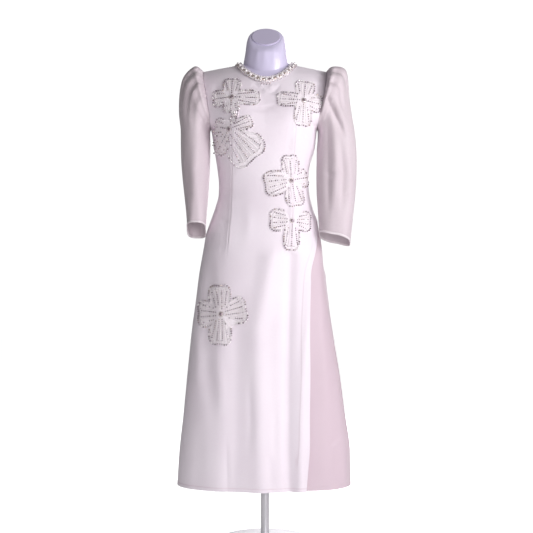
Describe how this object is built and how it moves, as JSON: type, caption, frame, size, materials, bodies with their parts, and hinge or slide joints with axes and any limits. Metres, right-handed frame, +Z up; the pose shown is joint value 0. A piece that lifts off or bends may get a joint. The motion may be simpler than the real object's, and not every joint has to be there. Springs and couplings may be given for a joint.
{
  "type": "ao dai tunic on a dress form",
  "caption": "Long white satin tunic with split skirt, sheer gathered sleeves, jewelled neckline and embroidered flowers, on a limbless dress form.",
  "frame": {"origin": "centre of the underside of the dress form's round base, where it stands on the floor", "axes": "+Z up along the pole, the tunic's front faces -Y, +X towards the viewer's right"},
  "size_m": [0.5351, 0.31, 1.5487],
  "materials": {
    "satin": "white satin-backed crepe with a faint pink cast and a soft sheen",
    "organza": "sheer white organza",
    "stones": "faceted smoke and champagne stones and pearls in fine settings",
    "embroidery": "white satin stitch with bead outlines and a dark centre stone",
    "zip_metal": "white lacquered zip slider and pull",
    "form_shell": "smooth white moulding with a cool lavender cast",
    "stand_metal": "satin light grey lacquer"
  },
  "bodies": {
    "garment_on_form": {"front_panel": "satin", "back_left": "satin", "back_right": "satin", "sleeve_left": "organza", "sleeve_right": "organza", "neck_trim": "stones", "flower_1": "embroidery", "flower_2": "embroidery", "flower_3": "embroidery", "flower_4": "embroidery", "flower_5": "embroidery", "flower_6": "embroidery", "zip_slider": "zip_metal", "form_torso": "form_shell", "form_neck_cap": "form_shell", "form_socket": "stand_metal", "form_pole": "stand_metal", "form_base": "stand_metal"},
    "zip_pull_body": {"zip_pull": "zip_metal"}
  },
  "joints": [
    {"name": "zip_pull_hinge", "type": "hinge", "parent": "garment_on_form", "child": "zip_pull_body", "pos_m": [0.0045, 0.09075, 1.39308], "axis": [1, 0, 0], "range_deg": [0, 140]}
  ]
}
